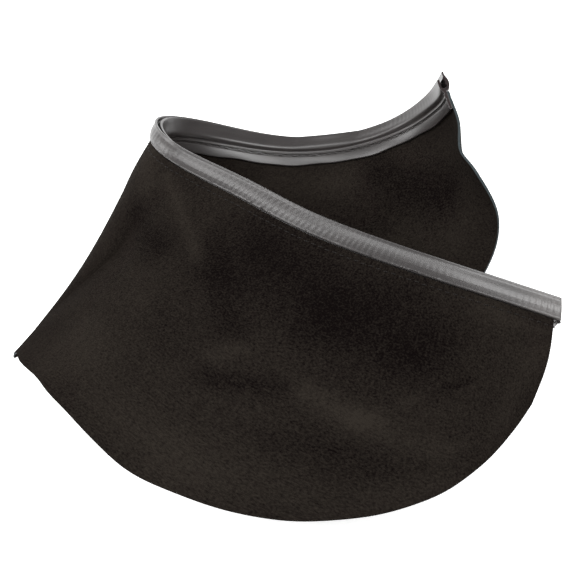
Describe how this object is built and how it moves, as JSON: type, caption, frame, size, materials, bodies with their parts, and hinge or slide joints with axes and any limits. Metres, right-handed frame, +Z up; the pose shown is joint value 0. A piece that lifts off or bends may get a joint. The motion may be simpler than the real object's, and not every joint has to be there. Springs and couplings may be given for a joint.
{
  "type": "welding helmet throat bib",
  "caption": "Folded black leather throat bib sewn to a grey plastic U-channel trim that pushes on to the lower rim of a welding helmet shell.",
  "frame": {"origin": "centre of the bounding box, on the floor", "axes": "+Z up with the bib at rest on its back half; +X towards the two open ends of the folded bib, +Y from the hem side to the trim's mouth on the back half"},
  "size_m": [0.3124, 0.2462, 0.0909],
  "materials": {
    "leather": "matt black split suede with cut edges",
    "trim": "smoky grey flexible plastic, glossy and slightly translucent",
    "thread": "dark bonded sewing thread"
  },
  "bodies": {
    "back_half": {"leather_back": "leather", "edge_trim_back": "trim", "top_thread_back": "thread", "bobbin_thread_back": "thread"},
    "front_half": {"leather_front": "leather", "edge_trim_front": "trim", "top_thread_front": "thread", "bobbin_thread_front": "thread"}
  },
  "joints": [
    {"name": "centre_fold", "type": "hinge", "parent": "back_half", "child": "front_half", "pos_m": [-0.06292, 0.08379, 0.07049], "axis": [-0.6433, -0.7055, -0.2974], "range_deg": [-5, 60]}
  ]
}
